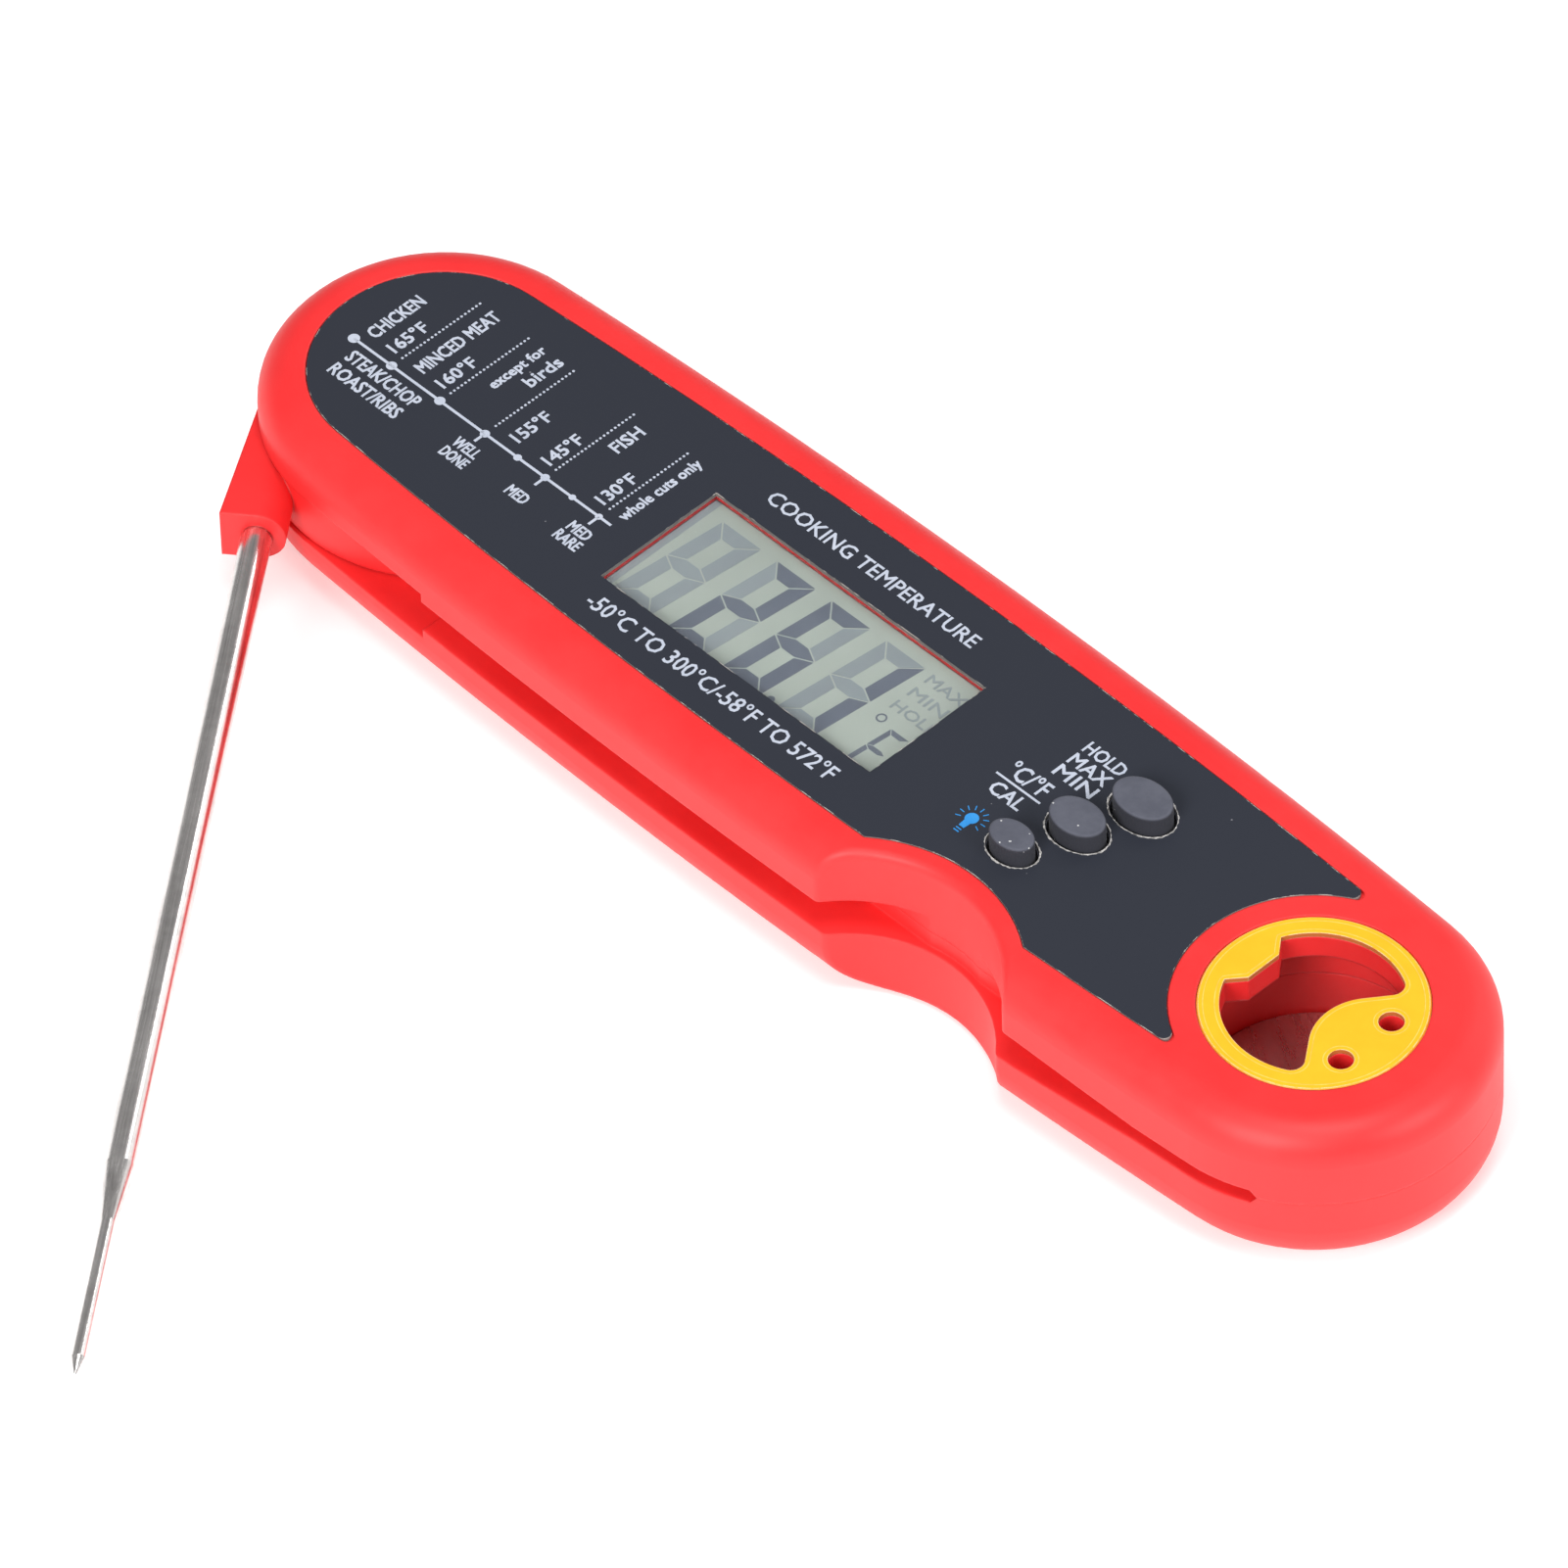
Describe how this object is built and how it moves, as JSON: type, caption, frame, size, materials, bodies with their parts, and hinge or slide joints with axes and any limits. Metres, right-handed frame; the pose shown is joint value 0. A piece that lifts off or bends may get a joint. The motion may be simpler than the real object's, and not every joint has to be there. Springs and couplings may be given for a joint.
{
  "type": "folding meat thermometer",
  "caption": "Folding digital meat thermometer: barrel-shaped case with display, buttons and bottle opener, and a thin steel probe that swings out on a hinge.",
  "frame": {"origin": "centre of the flat back face", "axes": "+X from the hinge end to the opener end, +Y to the long side without the slot, +Z from the back face out through the display"},
  "size_m": [0.1676, 0.1389, 0.0222],
  "materials": {
    "red_plastic": "satin moulded ABS",
    "label_black": "printed polycarbonate sheet, semi-gloss",
    "window_clear": "clear",
    "lcd_glass": "grey-green liquid crystal glass",
    "opener_yellow": "yellow paint on punched steel",
    "nickel": "nickel plate, worn",
    "probe_steel": "drawn stainless tube",
    "button_rubber": "matt silicone",
    "seal_rubber": "silicone",
    "white_plastic": "matt",
    "board_green": "solder mask",
    "chip_black": "epoxy",
    "contact_metal": "nickel-plated spring steel",
    "cell_steel": "stainless can",
    "screw_steel": "zinc-plated",
    "lead_sheath": "PVC sheath",
    "reed_glass": "clear tube"
  },
  "bodies": {
    "case": {"front_cover": "red_plastic", "back_cover": "red_plastic", "face_label": "label_black", "display_window": "window_clear", "lcd_panel": "lcd_glass", "opener_plate": "opener_yellow", "opener_magnet": "nickel", "back_magnet": "nickel", "case_gasket": "seal_rubber", "keypad_web": "button_rubber", "zebra_strip": "seal_rubber", "lcd_frame": "white_plastic", "backlight_diffuser": "white_plastic", "backlight_led": "white_plastic", "hinge_washers": "white_plastic", "circuit_board": "board_green", "main_chip": "chip_black", "tact_switches": "chip_black", "reed_switch": "reed_glass", "battery_contact_minus": "contact_metal", "battery_contact_plus": "contact_metal", "battery_cell": "cell_steel", "case_screws": "screw_steel", "board_screws": "screw_steel", "board_lead": "lead_sheath"},
    "arm": {"probe_arm": "red_plastic", "probe_tube": "probe_steel", "sensor_bead": "chip_black", "probe_lead": "lead_sheath", "fold_magnet": "nickel", "hinge_screw": "screw_steel", "hinge_seal": "seal_rubber"},
    "light_key": {"button_light": "button_rubber", "plunger_light": "chip_black"},
    "units_key": {"button_units": "button_rubber", "plunger_units": "chip_black"},
    "hold_key": {"button_hold": "button_rubber", "plunger_hold": "chip_black"},
    "door": {"battery_door": "red_plastic", "battery_door_seal": "seal_rubber"}
  },
  "joints": [
    {"name": "probe_fold", "type": "hinge", "parent": "case", "child": "arm", "pos_m": [-0.0645, 0, 0.0107], "axis": [0, 0, 1], "range_deg": [-127.9, 52.1]},
    {"name": "light_press", "type": "slide", "parent": "case", "child": "light_key", "axis": [0, 0, -1], "range_m": [0, 0.0006], "stiffness_N_per_m": 1500},
    {"name": "units_press", "type": "slide", "parent": "case", "child": "units_key", "axis": [0, 0, -1], "range_m": [0, 0.0006], "stiffness_N_per_m": 1500},
    {"name": "hold_press", "type": "slide", "parent": "case", "child": "hold_key", "axis": [0, 0, -1], "range_m": [0, 0.0006], "stiffness_N_per_m": 1500},
    {"name": "door_twist", "type": "hinge", "parent": "case", "child": "door", "pos_m": [-0.015, 0.0014, 0], "axis": [0, 0, -1], "range_deg": [0, 45]}
  ]
}
